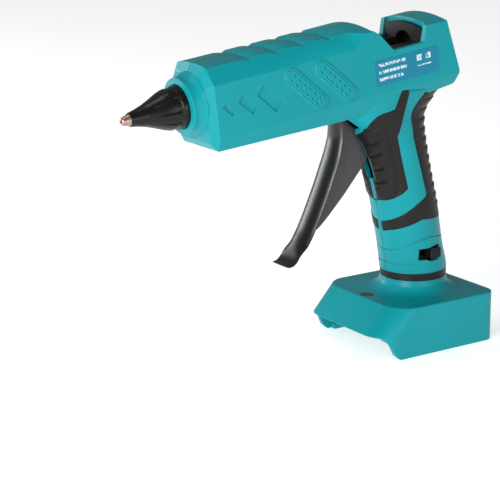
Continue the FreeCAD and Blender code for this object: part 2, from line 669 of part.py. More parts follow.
# ---- trigger and feed ----
def trigger():
    """A curved finger plate, a deep fin behind it, and a fork that drives the carriage."""
    face = [(19.9, 137.5), (22.6, 131.6), (22.6, 124.4), (19.3, 115.6), (12.3, 98.6), (6.0, 84.2),
            (1.3, 74.9), (-3.4, 67.6), (-7.3, 61.5), (-10.5, 58.2), (-14.6, 57.2), (-14.9, 55.4),
            (-8.8, 55.5), (-5.4, 60.0), (-1.4, 66.4), (3.3, 73.8), (8.1, 83.1), (14.4, 97.6), (21.4, 114.8),
            (24.9, 124.4), (25.6, 137.5)]
    radii = [0, 6, 10, 0, 0, 0, 0, 0, 0, 3, 0.8, 0.8, 4, 0, 0, 0, 0, 0, 0, 10, 0]
    plate = side_plate(face, -TRIGGER_HALF_WIDTH, TRIGGER_HALF_WIDTH, radii)
    fin = [(20.5, 138.0), (26.0, 137.6), (33.0, 132.6), (41.0, 125.4), (45.0, 118.8), (45.8, 113.5),
           (43.5, 110.2), (27.9, 92.5), (16.8, 81.3), (11.1, 76.1), (5.4, 71.6), (1.8, 72.5),
           (7.6, 84.0), (20.4, 114.0)]
    fin_radii = [0, 3, 10, 10, 6, 2, 2, 12, 12, 8, 0, 0, 0, 0]
    blade = side_plate(fin, -FIN_HALF_WIDTH, FIN_HALF_WIDTH, fin_radii)
    pivot = barrel_point(PIVOT_S, 0, PIVOT_V)
    boss = rod(4.4, pivot - V(0, 11.4, 0), pivot + V(0, 11.4, 0))
    root = block(pivot.x - 3.6, pivot.x + 4.4, -TRIGGER_HALF_WIDTH, TRIGGER_HALF_WIDTH, 136.5, pivot.z)
    whole = joined([plate, blade, boss, root])
    whole = whole.cut(block(pivot.x - 6, pivot.x + 7, -4.6, 4.6, 139.5, pivot.z + 6))
    lean = math.degrees(math.atan2(CARRIAGE_S - PIVOT_S, -PIVOT_V))
    reach = math.hypot(CARRIAGE_S - PIVOT_S, PIVOT_V)
    for side in (-1, 1):
        inner, outer = sorted((side * 9.2, side * 11.4))
        arm = block(-3.9, 3.9, inner, outer, 0, reach + 5.5)
        fork_half = DRIVE_PIN_R + 0.32
        arm = arm.cut(block(-fork_half, fork_half, inner - 1, outer + 1, reach - 3.2, reach + 7))
        arm.rotate(V(0, 0, 0), V(0, 1, 0), lean)
        arm.translate(V(PIVOT_S, 0, PIVOT_V))
        whole = whole.fuse(on_barrel(arm))
    whole = whole.cut(rod(PIVOT_PIN_R + 0.05, pivot - V(0, 20, 0), pivot + V(0, 20, 0)))
    return main_solid(whole.removeSplitter())


def trigger_pivot_pin():
    pivot = barrel_point(PIVOT_S, 0, PIVOT_V)
    return rod(PIVOT_PIN_R, pivot - V(0, 15.4, 0), pivot + V(0, 15.4, 0))


def trigger_spring():
    """The coil of the return spring, round the pivot pin."""
    wire_r, coil_r, turns = 0.5, 2.6, 5
    helix = Part.makeHelix(1.4, 1.4 * turns, coil_r)
    section = Part.Wire(Part.makeCircle(wire_r, V(coil_r, 0, 0), V(0, 1, 0)))
    coil = Part.Wire(helix).makePipeShell([section], True, True)
    coil = Part.makeSolid(coil) if coil.ShapeType != "Solid" else coil
    coil.rotate(V(0, 0, 0), V(1, 0, 0), -90)
    pivot = barrel_point(PIVOT_S, 0, PIVOT_V)
    coil.translate(V(pivot.x, -0.7 * turns, pivot.z))
    return coil


def feed_carriage():
    """The slider round the stick: a bored block with two drive pins and a pocket for the pawl."""
    body = rod(8.4, V(CARRIAGE_S - 9, 0, 0), V(CARRIAGE_S + 9, 0, 0))
    belly = block(CARRIAGE_S - 9, CARRIAGE_S + 9, -4.5, 4.5, -12.0, 0)
    whole = body.fuse(belly)
    pins = rod(DRIVE_PIN_R, V(CARRIAGE_S, -11.2, 0), V(CARRIAGE_S, 11.2, 0))
    whole = whole.fuse(pins).cut(rod(STICK_R + 0.5, V(100, 0, 0), V(200, 0, 0)))
    pocket = block(CARRIAGE_S - 7.4, CARRIAGE_S + 7.4, -2.4, 2.4, -13, 0)
    whole = whole.cut(pocket)
    whole = whole.cut(rod(PAWL_PIN_R, V(PAWL_S, -6, PAWL_V), V(PAWL_S, 6, PAWL_V)))
    return whole.removeSplitter()


def grip_pawl():
    """The toothed pawl that bites the stick on the way forward and slips on the way back."""
    outline = [(PAWL_S + 1.9, PAWL_V - 1.9), (PAWL_S + 1.9, PAWL_V + 1.9), (PAWL_S - 2.4, PAWL_V + 2.4),
               (PAWL_S - 7.0, PAWL_V + 3.2), (PAWL_S - 8.4, PAWL_V + 2.4), (PAWL_S - 9.6, PAWL_V + 2.9),
               (PAWL_S - 10.8, PAWL_V + 2.0), (PAWL_S - 10.8, PAWL_V - 0.6), (PAWL_S - 4, PAWL_V - 1.9)]
    pawl = side_plate(outline, -2.0, 2.0, [1.6, 1.6, 0, 0, 0, 0, 0, 0.5, 0])
    return pawl.cut(rod(PAWL_PIN_R + 0.05, V(PAWL_S, -6, PAWL_V), V(PAWL_S, 6, PAWL_V)))


def pawl_pin():
    return rod(PAWL_PIN_R, V(PAWL_S, -4.5, PAWL_V), V(PAWL_S, 4.5, PAWL_V))


def carriage_rail():
    """The fixed cradle that the carriage slides in, under and beside it."""
    start, end = CARRIAGE_S - 9 - CARRIAGE_TRAVEL - 2, CARRIAGE_S + 11
    rails = []
    for side in (-1, 1):
        inner, outer = sorted((side * 4.9, side * 7.0))
        rails.append(block(start, end, inner, outer, -14.6, -9.2))
    bed = block(start, end, -7, 7, -15.2, -12.4)
    return joined([*rails, bed])


# ---- electrics ----
def switch_body():
    return block(70.0, 88.0, -12.8, -6.6, 48.8, 58.6).cut(block(72.0, 86.0, -14, -11.6, 51.4, 56.0))


def switch_knob():
    """The ribbed slide: a stem in the switch and a cap in the housing's window."""
    rear = SWITCH_X + SWITCH_WINDOW / 2 - 0.6
    cap = side_plate([(rear - 7.2, 50.9), (rear, 50.9), (rear, 56.9), (rear - 7.2, 56.9)], -20.0, -13.2, 0.6)
    stem = block(rear - 5.2, rear - 1.2, -13.2, -11.9, 52.6, 55.0)
    knob = cap.fuse(stem)
    for i in range(4):
        x = rear - 6.0 + 1.5 * i
        knob = knob.cut(block(x, x + 0.7, -21, -19.4, 50, 58))
    return knob.removeSplitter()


def control_board():
    return block(70.0, 90.0, -4.8, 10.5, 50.0, 51.6)


def board_components():
    """A relay, a power transistor and a capacitor standing on the board."""
    relay = block(72, 80, -2, 8, 51.6, 58)
    transistor = block(83, 88, -3, 3, 51.6, 60)
    capacitor = rod(2.2, V(85.5, 6.2, 51.6), V(85.5, 6.2, 59))
    return Part.makeCompound([relay, transistor, capacitor])


def rating_label():
    """The label on the left flat side, under the notch."""
    y = -BODY_HALF_WIDTH
    corners = [V(150.5, y, -12.8), V(195.0, y, -12.8), V(195.0, y, 1.7), V(150.5, y, 1.7)]
    return rounded_face(corners, 0.6).extrude(V(0, -0.2, 0))


def housing_screws():
    screws = []
    for place in boss_places():
        head_y = place + V(0, 8, 0)
        shank = rod(SCREW_R, place - V(0, 8, 0), head_y)
        head = rod(SCREW_HEAD_R, head_y, head_y + V(0, 2.2, 0))
        socket = rod(1.2, head_y + V(0, 1.0, 0), head_y + V(0, 3, 0))
        screws.append(shank.fuse(head).cut(socket).removeSplitter())
    return Part.makeCompound(screws)


def export(node, shape):
    problem = "" if shape.isValid() and shape.Solids else "  INVALID"
    print(f"{node:20s} {len(shape.Solids):3d} solids {shape.Volume:10.1f} mm3{problem}")
    shape.exportStep(f"parts/{node}.step")


def main():
    os.makedirs("parts", exist_ok=True)
    left, right, grips = housing()
    in_world = {
        "housing_left": left, "housing_right": right,
        "grip_front_left": grips[0], "grip_front_right": grips[1], "grip_rear": grips[2],
        "battery_foot": battery_foot(), "handle_band": handle_band(), "indicator_lens": indicator_lens(),
        "indicator_led": indicator_led(), "terminal_block": terminal_block(),
        "terminal_blades": terminal_blades(), "foot_screws": foot_screws(),
        "housing_screws": housing_screws(), "trigger": trigger(),
        "trigger_pivot_pin": trigger_pivot_pin(), "trigger_spring": trigger_spring(),
        "switch_body": switch_body(), "switch_knob": switch_knob(), "control_board": control_board(),
        "board_components": board_components(),
    }
    in_barrel = {
        "nose_collar": nose_collar(), "nozzle": nozzle(), "nozzle_sleeve": nozzle_sleeve(),
        "heating_chamber": heating_chamber(), "heater_element": heater_element(),
        "heater_clip": heater_clip(), "chamber_ring_front": chamber_ring(48.7, 50.5, CHAMBER_R),
        "chamber_ring_rear": chamber_ring(90, 93, CHAMBER_R),
        "inlet_sleeve": inlet_sleeve(), "sleeve_clamp": sleeve_clamp(), "rear_guide": rear_guide(),
        "feed_carriage": feed_carriage(), "grip_pawl": grip_pawl(), "pawl_pin": pawl_pin(),
        "carriage_rail": carriage_rail(), "rating_label": rating_label(),
    }
    for node, shape in in_world.items():
        export(node, shape)
    for node, shape in in_barrel.items():
        export(node, on_barrel(shape))


if __name__ == "__main__":
    main()
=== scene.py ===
"""Looks of a cordless glue gun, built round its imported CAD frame. Lengths are in metres, +Z is up."""
import json
import math

import bmesh
import bpy
import numpy as np
from mathutils import Matrix, Vector


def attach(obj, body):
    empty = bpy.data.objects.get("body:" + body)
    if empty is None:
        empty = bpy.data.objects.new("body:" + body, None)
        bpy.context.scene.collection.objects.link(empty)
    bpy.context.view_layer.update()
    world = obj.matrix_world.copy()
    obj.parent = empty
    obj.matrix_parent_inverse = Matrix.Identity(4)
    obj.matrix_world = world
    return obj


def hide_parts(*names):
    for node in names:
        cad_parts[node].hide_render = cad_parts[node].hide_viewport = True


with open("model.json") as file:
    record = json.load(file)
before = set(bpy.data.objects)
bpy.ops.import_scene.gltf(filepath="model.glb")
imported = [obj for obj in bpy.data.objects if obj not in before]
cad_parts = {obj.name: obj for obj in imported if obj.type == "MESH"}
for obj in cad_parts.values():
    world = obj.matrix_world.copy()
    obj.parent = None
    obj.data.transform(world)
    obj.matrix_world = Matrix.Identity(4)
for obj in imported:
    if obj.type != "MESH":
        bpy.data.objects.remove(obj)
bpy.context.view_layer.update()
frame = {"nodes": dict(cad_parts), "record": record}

MM = 0.001
SHARP = 28          # degrees: the CAD nodes' edges past this angle stay sharp
BENT = 40           # and the same for the computed surfaces
WELD_MM = 0.002     # points of a node this near each other are one
MERGE_MM = 0.004    # and the same for the computed surfaces

# ---- sizes the looks share with the frame ----
TILT = math.radians(7.1)                      # the barrel's nose droops by this much
TIP = np.array([-114.49, 0.0, 150.6]) * MM    # the nozzle's tip, where the barrel's axis starts
BACK = np.array([math.cos(TILT), 0.0, math.sin(TILT)])
ACROSS = np.array([0.0, 1.0, 0.0])
UP = np.array([-math.sin(TILT), 0.0, math.cos(TILT)])
SIDE_FLAT = 20.8                              # millimetres from the middle to the barrel's flat sides
PAD_TILT = 46.5                               # slant of the side's pads, in degrees
PAD_LINE = -2.9                               # their middle line, below the barrel's axis
LABEL_BARS = [  # top and height above the axis, then start and end along it: three rows, two signs, a line
    (-0.2, 1.7, 152.6, 171.5), (-4.2, 1.7, 152.6, 172.0), (-8.2, 1.7, 152.6, 169.4),
    (-0.6, 3.4, 179.5, 183.2), (-0.6, 3.4, 186.0, 189.5), (-6.4, 0.8, 179.5, 189.5),
]
HANDLE_STATIONS = np.array([  # height, front, back, half width of the handle's sections
    (38.0, 61.3, 100.6, 19.5),
    (54.0, 59.0, 98.1, 19.5),
    (68.0, 56.2, 95.3, 19.5),
    (82.0, 53.2, 92.2, 19.5),
    (102.5, 47.6, 86.9, 19.5),
    (114.0, 43.2, 84.4, 19.5),
    (124.0, 37.4, 82.6, 19.6),
    (132.0, 29.5, 82.2, 19.8),
    (138.0, 20.5, 83.6, 20.0),
    (144.0, 17.0, 88.5, 20.2),
    (152.0, 17.0, 96.0, 20.3),
])


# ---- shader maths ----
class Value:
    """One output socket of a finish. Sums, products and powers of values add their Math nodes."""

    def __init__(self, finish, socket):
        self.finish = finish
        self.socket = socket

    def math(self, operation, *terms):
        return self.finish.node("ShaderNodeMath", {"operation": operation}, dict(enumerate(terms)))

    def __add__(self, other):
        return self.math("ADD", self, other)

    def __radd__(self, other):
        return self.math("ADD", other, self)

    def __sub__(self, other):
        return self.math("SUBTRACT", self, other)

    def __rsub__(self, other):
        return self.math("SUBTRACT", other, self)

    def __mul__(self, other):
        return self.math("MULTIPLY", self, other)

    def __rmul__(self, other):
        return self.math("MULTIPLY", other, self)

    def __truediv__(self, other):
        return self.math("DIVIDE", self, other)

    def __pow__(self, other):
        return self.math("POWER", self, other)

    def above(self, edge):
        return self.math("GREATER_THAN", self, edge)

    def clamped(self):
        return self.finish.node("ShaderNodeClamp", {}, {0: self, 1: 0.0, 2: 1.0})


class Finish:
    """A node material: node() adds any node, and surface() sets the shader that the piece wears."""

    def __init__(self, name):
        self.material = bpy.data.materials.new(name)
        self.material.use_nodes = True
        self.tree = self.material.node_tree
        self.shader = self.tree.nodes["Principled BSDF"]
        self.place = self.node("ShaderNodeTexCoord", {}, {}, "Object")

    def node(self, kind, settings, inputs, output=0):
        made = self.tree.nodes.new(kind)
        for key, value in settings.items():
            if key == "stops":
                self.set_stops(made.color_ramp, value)
            else:
                setattr(made, key, value)
        for key, value in inputs.items():
            self.feed(made.inputs[key], value)
        return Value(self, made.outputs[output])

    @staticmethod
    def set_stops(ramp, stops):
        while len(ramp.elements) < len(stops):
            ramp.elements.new(0.5)
        for element, (position, colour) in zip(ramp.elements, stops):
            element.position = position
            element.color = (*colour, 1.0)

    def feed(self, socket, value):
        if isinstance(value, Value):
            self.tree.links.new(value.socket, socket)
        elif hasattr(socket.default_value, "__len__") and len(value) == 3 and socket.type == "RGBA":
            socket.default_value = (*value, 1.0)
        else:
            socket.default_value = value

    def noise(self, per_mm, detail=2.0, roughness=0.5, stretch=(1, 1, 1), distortion=0.0):
        """Noise with so many cells to a millimetre, stretched along the axes."""
        spot = self.node("ShaderNodeMapping", {}, {"Vector": self.place, "Scale": stretch})
        return self.node("ShaderNodeTexNoise", {}, {"Vector": spot, "Scale": per_mm / MM, "Detail": detail,
                                                    "Roughness": roughness, "Distortion": distortion})

    def mix(self, factor, one, other):
        return self.node("ShaderNodeMix", {"data_type": "RGBA"}, {0: factor, 6: one, 7: other}, 2)

    def bump(self, height, strength, distance_mm, base=None):
        inputs = {"Height": height, "Strength": strength, "Distance": distance_mm * MM}
        if base is not None:
            inputs["Normal"] = base
        return self.node("ShaderNodeBump", {}, inputs)

    def rounded(self, radius_mm):
        """The surface's direction as if its edges were rounded to a radius."""
        return self.node("ShaderNodeBevel", {"samples": 6}, {"Radius": radius_mm * MM})

    def edge_wear_and_highlight(self, radius_mm):
        """0 on flats and 1 on sharp edges: how far the rounded direction leans from the true one. The
        finishes pale their edges by it, partly for rub wear and partly as a painted highlight.
        """
        straight = self.node("ShaderNodeNewGeometry", {}, {}, "Normal")
        lean = self.node("ShaderNodeVectorMath", {"operation": "DOT_PRODUCT"},
                         {0: self.rounded(radius_mm), 1: straight}, "Value")
        return ((1.0 - lean) * 4.0).clamped()

    def surface(self, **sockets):
        for key, value in sockets.items():
            self.feed(self.shader.inputs[key.replace("_", " ")], value)
        return self.material


def linear(red, green, blue):
    """Scene-linear colour from 0 to 255 display values."""
    channel = np.array([red, green, blue]) / 255.0
    low, high = channel / 12.92, ((channel + 0.055) / 1.055) ** 2.4
    return tuple(np.where(channel <= 0.04045, low, high).tolist())


# ---- finishes ----
def teal_plastic(name, seam_mm=0.0):
    """Satin moulded plastic: pebbled grain, flow clouds, edges paled partly for rub wear and partly as a
    painted highlight, and a fine seam down the middle.
    """
    finish = Finish(name)
    clouds = finish.noise(0.02, 3.0)
    grain = finish.noise(2.2, 2.0, 0.6)
    worn_and_lit_edges = finish.edge_wear_and_highlight(0.5)
    scuffs = (finish.noise(0.12, 6.0, 0.7, (1, 1, 1), 0.4) - 0.52) * 6.0
    body = finish.mix(clouds, linear(3, 138, 146), linear(7, 147, 156))
    # pale edges: partly rub wear, partly a painted highlight along every edge
    colour = finish.mix(worn_and_lit_edges * 0.35, body, linear(96, 200, 208))
    if seam_mm:
        across = finish.node("ShaderNodeSeparateXYZ", {}, {0: finish.place}, 1)
        seam = 1.0 - (across.math("ABSOLUTE", across) / (seam_mm * MM)).clamped()
        colour = finish.mix(seam * 1.6, colour, linear(2, 62, 68))
    normal = finish.bump(grain, 0.10, 0.05, finish.rounded(0.45))
    rough = 0.30 + 0.07 * clouds + 0.05 * grain + 0.05 * scuffs.clamped()
    return finish.surface(Base_Color=colour, Roughness=rough, Normal=normal, Specular_IOR_Level=0.2)


def grip_rubber():
    """Matt soft-touch rubber: tight grain, dusty clouds and ridges paled, partly as polish wear and partly
    as a painted sheen.
    """
    finish = Finish("soft grip rubber")
    grain = finish.noise(3.0, 2.0, 0.6)
    dust = finish.noise(0.09, 5.0, 0.6)
    worn_and_lit_edges = finish.edge_wear_and_highlight(0.35)
    body = finish.mix(dust, linear(14, 13, 14), linear(22, 21, 22))
    # pale ridges and edges: partly polish wear, partly a painted sheen
    colour = finish.mix(worn_and_lit_edges * 0.6, body, linear(66, 65, 67))
    normal = finish.bump(grain, 0.2, 0.06, finish.rounded(0.3))
    return finish.surface(Base_Color=colour, Roughness=0.42 + 0.12 * dust, Normal=normal,
                          Specular_IOR_Level=0.28)


def black_plastic():
    """Hard black plastic: fine grain, faint clouds and pale edges, partly rub wear and partly a painted
    highlight.
    """
    finish = Finish("black moulded plastic")
    grain = finish.noise(2.0, 2.0)
    clouds = finish.noise(0.06, 4.0)
    worn_and_lit_edges = finish.edge_wear_and_highlight(0.3)
    # pale edges: partly rub wear, partly a painted highlight
    colour = finish.mix(worn_and_lit_edges * 0.5, finish.mix(clouds, linear(10, 10, 11), linear(17, 16, 17)),
                        linear(84, 84, 86))
    normal = finish.bump(grain, 0.12, 0.05, finish.rounded(0.25))
    return finish.surface(Base_Color=colour, Roughness=0.42 + 0.12 * clouds, Normal=normal,
                          Specular_IOR_Level=0.3)


def trigger_plastic(name, dark, pale, rough):
    """Semi-gloss plastic with faint draw marks down its length and pale edges, partly scuffs and partly a
    painted highlight.
    """
    finish = Finish(name)
    grain = finish.noise(1.6, 3.0, 0.6)
    streaks = finish.noise(0.5, 4.0, 0.6, (1.0, 1.0, 0.12))
    worn_and_lit_edges = finish.edge_wear_and_highlight(0.4)
    body = finish.mix(streaks, linear(*dark), linear(*pale))
    # pale edges: partly scuffs, partly a painted highlight
    colour = finish.mix(worn_and_lit_edges * 0.7, body, linear(140, 140, 144))
    normal = finish.bump(grain, 0.06, 0.04, finish.rounded(0.3))
    return finish.surface(Base_Color=colour, Roughness=rough + 0.10 * streaks, Normal=normal)


def sleeve_silicone():
    """Black heat-proof silicone, satin, with baked dust in clouds and paler edges, partly wear and partly a
    painted highlight.
    """
    finish = Finish("sleeve silicone")
    grain = finish.noise(2.4, 2.0)
    clouds = finish.noise(0.15, 5.0, 0.65)
    worn_and_lit_edges = finish.edge_wear_and_highlight(0.3)
    # pale edges: partly wear, partly a painted highlight
    colour = finish.mix(worn_and_lit_edges * 0.45, finish.mix(clouds, linear(8, 7, 8), linear(15, 14, 14)),
                        linear(92, 90, 92))
    normal = finish.bump(grain, 0.10, 0.05, finish.rounded(0.25))
    return finish.surface(Base_Color=colour, Roughness=0.22 + 0.12 * clouds, Normal=normal,
                          Specular_IOR_Level=0.3)


def nozzle_metal():
    """Plated nozzle metal: a fine matt skin and a copper heat tint in patches."""
    finish = Finish("nozzle metal")
    tint = finish.noise(0.25, 4.0, 0.6)
    fine = finish.noise(6.0, 2.0)
    colour = finish.mix(tint, linear(205, 180, 165), linear(150, 105, 92))
    normal = finish.bump(fine, 0.12, 0.02, finish.rounded(0.15))
    return finish.surface(Base_Color=colour, Metallic=1.0, Roughness=0.24 + 0.18 * tint, Normal=normal)


def bright_steel():
    """Plated screws and pins, lightly tarnished."""
    finish = Finish("plated steel")
    fine = finish.noise(4.0, 3.0)
    tarnish = finish.noise(0.4, 4.0)
    colour = finish.mix(tarnish, linear(188, 188, 192), linear(150, 150, 156))
    return finish.surface(Base_Color=colour, Metallic=1.0, Roughness=0.28 + 0.2 * tarnish,
                          Normal=finish.bump(fine, 0.08, 0.02, finish.rounded(0.15)))


def brass():
    """The battery contacts' brass, dulled in patches."""
    finish = Finish("contact brass")
    tarnish = finish.noise(0.5, 4.0)
    colour = finish.mix(tarnish, linear(205, 168, 92), linear(158, 120, 64))
    return finish.surface(Base_Color=colour, Metallic=1.0, Roughness=0.25 + 0.2 * tarnish,
                          Normal=finish.rounded(0.1))


def cast_aluminium():
    """The melting tube's casting: matt, with shallow pits."""
    finish = Finish("cast aluminium")
    pits = finish.noise(1.2, 5.0, 0.7)
    colour = finish.mix(pits, linear(172, 172, 174), linear(138, 138, 140))
    return finish.surface(Base_Color=colour, Metallic=1.0, Roughness=0.42 + 0.2 * pits,
                          Normal=finish.bump(pits, 0.3, 0.08, finish.rounded(0.2)))


def speckled(name, pale, dark, cells, rough, metallic=0.0):
    """A plain inner material: two tones in fine specks, over rounded edges."""
    finish = Finish(name)
    specks = finish.noise(cells, 4.0, 0.65)
    return finish.surface(Base_Color=finish.mix(specks, linear(*pale), linear(*dark)),
                          Roughness=rough + 0.12 * specks, Metallic=metallic,
                          Normal=finish.bump(specks, 0.15, 0.05, finish.rounded(0.2)))


def label_film():
    """Printed film: blue ground and broken rows of pale bars in place of words and signs."""
    finish = Finish("label film")
    place = finish.node("ShaderNodeVectorMath", {"operation": "SUBTRACT"}, {0: finish.place, 1: tuple(TIP)})
    dot = {"operation": "DOT_PRODUCT"}
    along = finish.node("ShaderNodeVectorMath", dot, {0: place, 1: tuple(BACK)}, "Value")
    height = finish.node("ShaderNodeVectorMath", dot, {0: place, 1: tuple(UP)}, "Value")
    print_mask = 0.0
    for top, tall, start, end in LABEL_BARS:
        row = height.above((top - tall) * MM) * (1.0 - height.above(top * MM))
        print_mask = row * along.above(start * MM) * (1.0 - along.above(end * MM)) + print_mask
    breaks = finish.noise(1.25, 1.0, 0.5, (1, 1, 0.4))
    mask = (print_mask * breaks.above(0.44)).clamped()
    colour = finish.mix(mask * 0.85, linear(14, 122, 152), linear(216, 232, 238))
    fine = finish.noise(1.5, 2.0)
    return finish.surface(Base_Color=colour, Roughness=0.30 + 0.1 * fine, Specular_IOR_Level=0.25,
                          Normal=finish.bump(fine, 0.05, 0.03))


def dark_lens():
    """The lamp's nearly black window, glossy under a thin haze."""
    finish = Finish("dark lens")
    haze = finish.noise(0.8, 3.0)
    return finish.surface(Base_Color=finish.mix(haze, linear(6, 8, 9), linear(14, 17, 18)),
                          Roughness=0.12 + 0.1 * haze, Normal=finish.rounded(0.2))


teal = teal_plastic("teal moulded plastic")
teal_halves = teal_plastic("teal plastic in halves", 0.28)
rubber = grip_rubber()
black = black_plastic()
trigger_grey = trigger_plastic("trigger web plastic", (54, 52, 55), (66, 64, 67), 0.38)
trigger_black = trigger_plastic("trigger face plastic", (9, 9, 10), (15, 14, 15), 0.24)
silicone = sleeve_silicone()
tip_metal = nozzle_metal()
steel = bright_steel()
lens = dark_lens()
nylon = speckled("natural nylon", (226, 224, 214), (206, 203, 190), 0.5, 0.42)
WEARS = {
    "teal_plastic": teal, "grip_rubber": rubber, "black_plastic": black, "lens_plastic": lens,
    "contact_metal": brass(), "screw_steel": steel, "trigger_plastic": trigger_grey,
    "board_laminate": speckled("board laminate", (22, 92, 48), (14, 70, 36), 0.3, 0.35),
    "nozzle_metal": tip_metal, "sleeve_silicone": silicone, "cast_aluminium": cast_aluminium(),
    "heater_ceramic": speckled("heater ceramic", (232, 229, 220), (205, 200, 186), 0.9, 0.6),
    "insulation_board": speckled("insulation board", (196, 182, 146), (160, 146, 112), 0.7, 0.75),
    "inlet_silicone": speckled("inlet silicone", (170, 70, 48), (148, 56, 38), 0.5, 0.5),
    "feed_plastic": nylon, "label_film": label_film(),
}


# ---- the frame's own nodes ----
def dress_nodes():
    """Every CAD node gets its slot's finish, and the shells one with a seam. All are welded and shaded
    smooth up to their creases."""
    slots = {row["node"]: row["material_slot"] for row in frame["record"]["subparts"]}
    for node, thing in frame["nodes"].items():
        thing.data.materials.clear()
        finish = teal_halves if node in ("housing_left", "housing_right") else WEARS[slots[node]]
        thing.data.materials.append(finish)
        smooth_up_to_creases(thing, SHARP, weld=True)


def smooth_up_to_creases(thing, crease_deg, weld=False):
    """Smooth shading except across edges sharper than the crease angle."""
    thing.data.polygons.foreach_set("use_smooth", np.ones(len(thing.data.polygons), bool))
    if weld:
        joiner = thing.modifiers.new("weld", "WELD")
        joiner.merge_threshold = WELD_MM * MM
    splitter = thing.modifiers.new("creases", "EDGE_SPLIT")
    splitter.split_angle = math.radians(crease_deg)
    splitter.use_edge_sharp = False


dress_nodes()


# ---- surfaces computed on a grid ----
def grid_piece(name, points, finish, node=None, body="gun_body", closed=False, toward=None):
    """A mesh over a grid of points (rows, columns, 3) in millimetres. A closed one joins its last column
    to its first, and an open sheet faces toward a given direction."""
    rows, columns = points.shape[:2]
    last = columns if closed else columns - 1
    row, column = np.meshgrid(np.arange(rows - 1), np.arange(last), indexing="ij")
    across, along = row + 1, (column + 1) % columns
    quads = np.stack([row * columns + column, row * columns + along,
                      across * columns + along, across * columns + column], -1).reshape(-1, 4)
    mesh = bpy.data.meshes.new(name)
    mesh.from_pydata((points.reshape(-1, 3) * MM).tolist(), [], quads.tolist())
    made = bpy.data.objects.new(name, mesh)
    mesh.materials.append(finish)
    bpy.context.scene.collection.objects.link(made)
    tidy = bmesh.new()
    tidy.from_mesh(mesh)
    bmesh.ops.remove_doubles(tidy, verts=tidy.verts, dist=MERGE_MM * MM)
    bmesh.ops.recalc_face_normals(tidy, faces=tidy.faces)
    if toward is not None and sum((face.normal for face in tidy.faces), Vector()).dot(Vector(toward)) < 0:
        bmesh.ops.reverse_faces(tidy, faces=tidy.faces)
    tidy.to_mesh(mesh)
    tidy.free()
    smooth_up_to_creases(made, BENT)
    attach(made, body)
    if node:
        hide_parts(node)
    return made


def smoothstep(low, high, value):
    """0 below low, 1 above high, and an S curve between."""
    part = np.clip((value - low) / (high - low), 0.0, 1.0)
    return part * part * (3.0 - 2.0 * part)


def along_path(corners, count):
    """A polyline resampled to count points, spaced evenly by length, for any number of coordinates."""
    corners = np.asarray(corners, float)
    steps = np.linalg.norm(np.diff(corners, axis=0), axis=1)
    reach = np.concatenate([[0.0], np.cumsum(steps)])
    places = np.linspace(0.0, reach[-1], count)
    return np.stack([np.interp(places, reach, corners[:, axis]) for axis in range(corners.shape[1])], -1)


def softened(values, passes):
    """Each point of a path moved toward the mean of its neighbours, again and again, ends held."""
    values = values.copy()
    for _ in range(passes):
        values[1:-1] = 0.5 * values[1:-1] + 0.25 * (values[:-2] + values[2:])
    return values


# ---- the handle's own form ----
def handle_section(height):
    """Middle, long radius and half width of the handle's ellipse: cubic pieces through the stations."""
    heights = HANDLE_STATIONS[:, 0]
    slopes = np.gradient(HANDLE_STATIONS[:, 1:], heights, axis=0)
    place = np.clip(np.searchsorted(heights, height) - 1, 0, len(heights) - 2)
    span = (heights[place + 1] - heights[place])[..., None]
    part = ((height - heights[place])[..., None] / span)
    values = ((2 * part ** 3 - 3 * part ** 2 + 1) * HANDLE_STATIONS[place, 1:]
              + (part ** 3 - 2 * part ** 2 + part) * span * slopes[place]
              + (3 * part ** 2 - 2 * part ** 3) * HANDLE_STATIONS[place + 1, 1:]
              + (part ** 3 - part ** 2) * span * slopes[place + 1])
    front, back, half_width = values[..., 0], values[..., 1], values[..., 2]
    return (front + back) / 2, (back - front) / 2, half_width


def handle_point(turn, height, out):
    """A point on the handle: round its ellipse by turn from the back toward -Y, and out along the normal."""
    middle, long_r, half_width = handle_section(height)
    normal = np.stack([np.cos(turn) / long_r, -np.sin(turn) / half_width, np.zeros_like(turn)], -1)
    normal /= np.linalg.norm(normal, axis=-1, keepdims=True)
    on_face = np.stack([middle + long_r * np.cos(turn), -half_width * np.sin(turn), height], -1)
    return on_face + normal * out[..., None]


def turn_at(x, height):
    """How far round from the back a point at x on the near side of the handle lies."""
    middle, long_r, _ = handle_section(height)
    return np.arccos(np.clip((x - middle) / long_r, -1.0, 1.0))


def rim_distance(points):
    """Each grid point's distance from the nearest edge of its patch, along the grid's own lines."""
    lengths = [np.linalg.norm(np.diff(points, axis=axis), axis=-1) for axis in (0, 1)]
    zeros = [np.zeros((1, points.shape[1])), np.zeros((points.shape[0], 1))]
    reach = [np.concatenate([zeros[axis], np.cumsum(lengths[axis], axis)], axis) for axis in (0, 1)]
    ends = [reach[0][-1:, :], reach[1][:, -1:]]
    return np.minimum(np.minimum(reach[0], ends[0] - reach[0]), np.minimum(reach[1], ends[1] - reach[1]))


def skin(name, turn, height, relief, node, side=-1):
    """A rubber skin over the handle: proud in the middle, rolled down into its pocket at the rim."""
    flat = handle_point(turn, height, np.zeros_like(turn))
    rim = rim_distance(flat)
    out = relief(height, flat) * smoothstep(0.6, 2.2, rim)
    out += 0.38 * np.sqrt(smoothstep(0.0, 0.9, rim)) - 0.75 * (rim < 0.02)
    points = handle_point(turn, height, out)
    points[..., 1] *= -side
    return grid_piece(name, points, rubber, node, toward=(0, side, 0))


